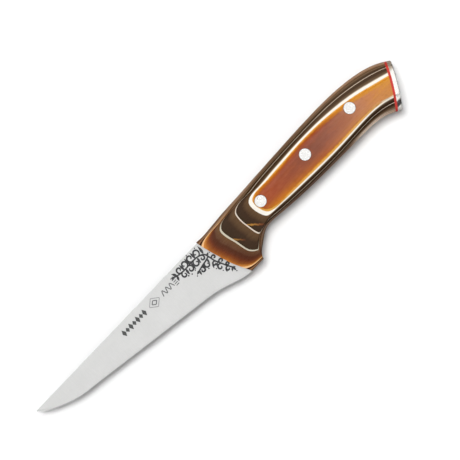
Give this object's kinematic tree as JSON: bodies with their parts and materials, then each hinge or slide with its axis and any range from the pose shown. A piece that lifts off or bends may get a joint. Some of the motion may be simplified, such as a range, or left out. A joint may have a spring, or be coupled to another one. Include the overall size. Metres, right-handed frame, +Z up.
{
  "type": "boning knife",
  "caption": "Full-tang boning knife with a slim upswept blade and sculpted laminated handle scales held by flush rivets, with a red spacer and a steel end cap.",
  "frame": {"origin": "middle of the base of the box round the knife as it lies on its side", "axes": "+X from the tip to the butt, +Y from the cutting edge to the spine, +Z up, from the right side to the left side"},
  "size_m": [0.2886, 0.038, 0.0205],
  "materials": {
    "blade_steel": "satin ground",
    "cap_steel": "polished",
    "rivet_metal": "polished flush",
    "red_spacer": "polished",
    "amber_laminate": "resin stabilised, polished",
    "dark_laminate": "resin stabilised, polished",
    "tan_laminate": "resin stabilised, polished",
    "cream_laminate": "polished",
    "white_laminate": "polished"
  },
  "bodies": {
    "root": {"blade": "blade_steel", "left_base_dark_ply": "dark_laminate", "left_tan_ply": "tan_laminate", "left_lower_dark_ply": "dark_laminate", "left_cream_ply": "cream_laminate", "left_front_amber_ply": "amber_laminate", "left_outer_white_ply": "white_laminate", "left_middle_dark_ply": "dark_laminate", "left_inner_white_ply": "white_laminate", "left_upper_dark_ply": "dark_laminate", "left_thick_white_ply": "white_laminate", "left_top_amber_ply": "amber_laminate", "right_base_dark_ply": "dark_laminate", "right_tan_ply": "tan_laminate", "right_lower_dark_ply": "dark_laminate", "right_cream_ply": "cream_laminate", "right_front_amber_ply": "amber_laminate", "right_outer_white_ply": "white_laminate", "right_middle_dark_ply": "dark_laminate", "right_inner_white_ply": "white_laminate", "right_upper_dark_ply": "dark_laminate", "right_thick_white_ply": "white_laminate", "right_top_amber_ply": "amber_laminate", "front_rivet_tube": "rivet_metal", "front_rivet_pin": "rivet_metal", "middle_rivet_tube": "rivet_metal", "middle_rivet_pin": "rivet_metal", "rear_rivet_tube": "rivet_metal", "rear_rivet_pin": "rivet_metal", "end_spacer": "red_spacer", "end_cap": "cap_steel"}
  },
  "joints": []
}
